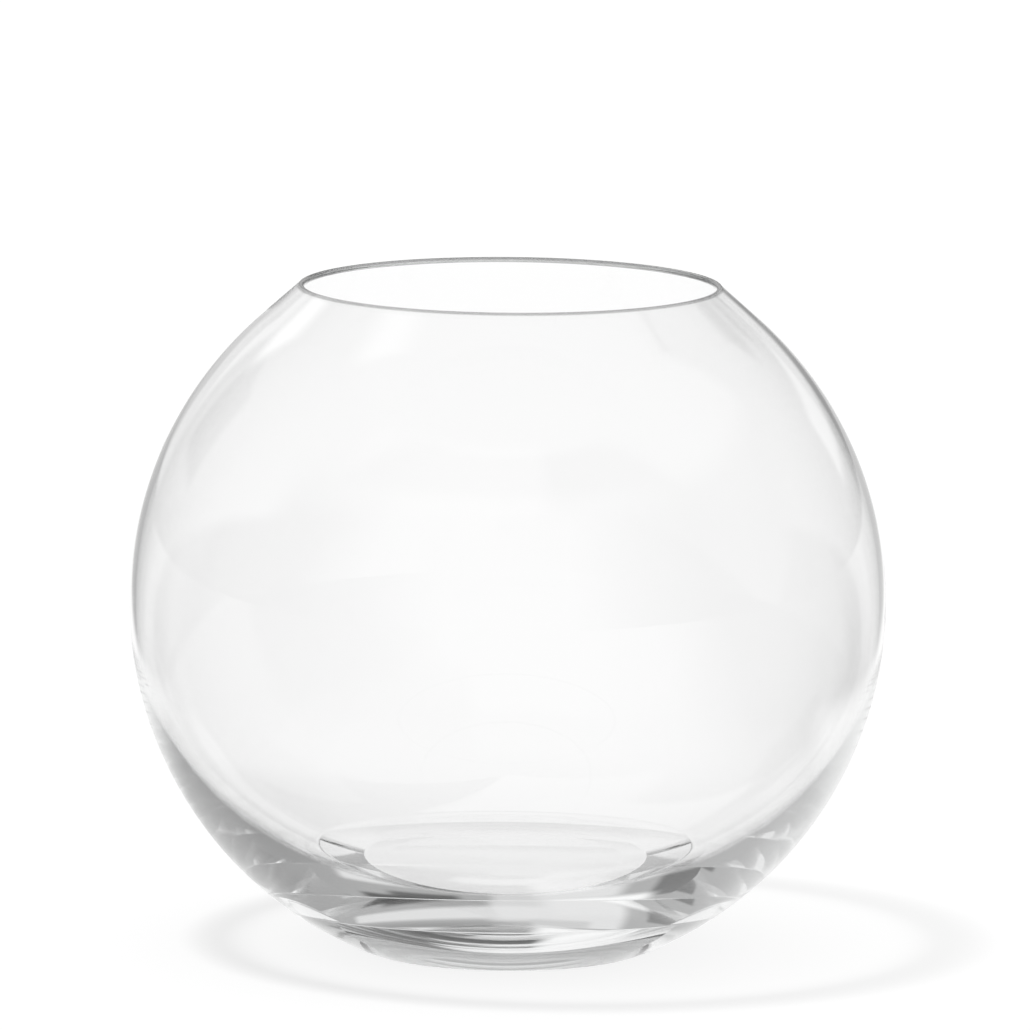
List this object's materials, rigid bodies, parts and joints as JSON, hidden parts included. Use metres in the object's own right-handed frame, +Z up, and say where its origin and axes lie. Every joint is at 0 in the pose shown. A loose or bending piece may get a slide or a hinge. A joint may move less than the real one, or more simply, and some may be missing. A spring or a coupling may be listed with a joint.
{
  "type": "rose bowl vase",
  "caption": "Clear blown-glass rose bowl: a ball-shaped vase with a wide open mouth, thin fire-polished lip, thickened base and flat foot, for cut or floating flowers.",
  "frame": {"origin": "middle of the foot, on the surface that the bowl stands on", "axes": "+Z up along the bowl's axis of revolution; X and Y are any two square directions, because the bowl is round"},
  "size_m": [0.2, 0.2, 0.1765],
  "materials": {
    "clear_glass": "clear colourless glass, smooth outside, fire-polished lip"
  },
  "bodies": {
    "root": {"glass_bowl": "clear_glass"}
  },
  "joints": []
}
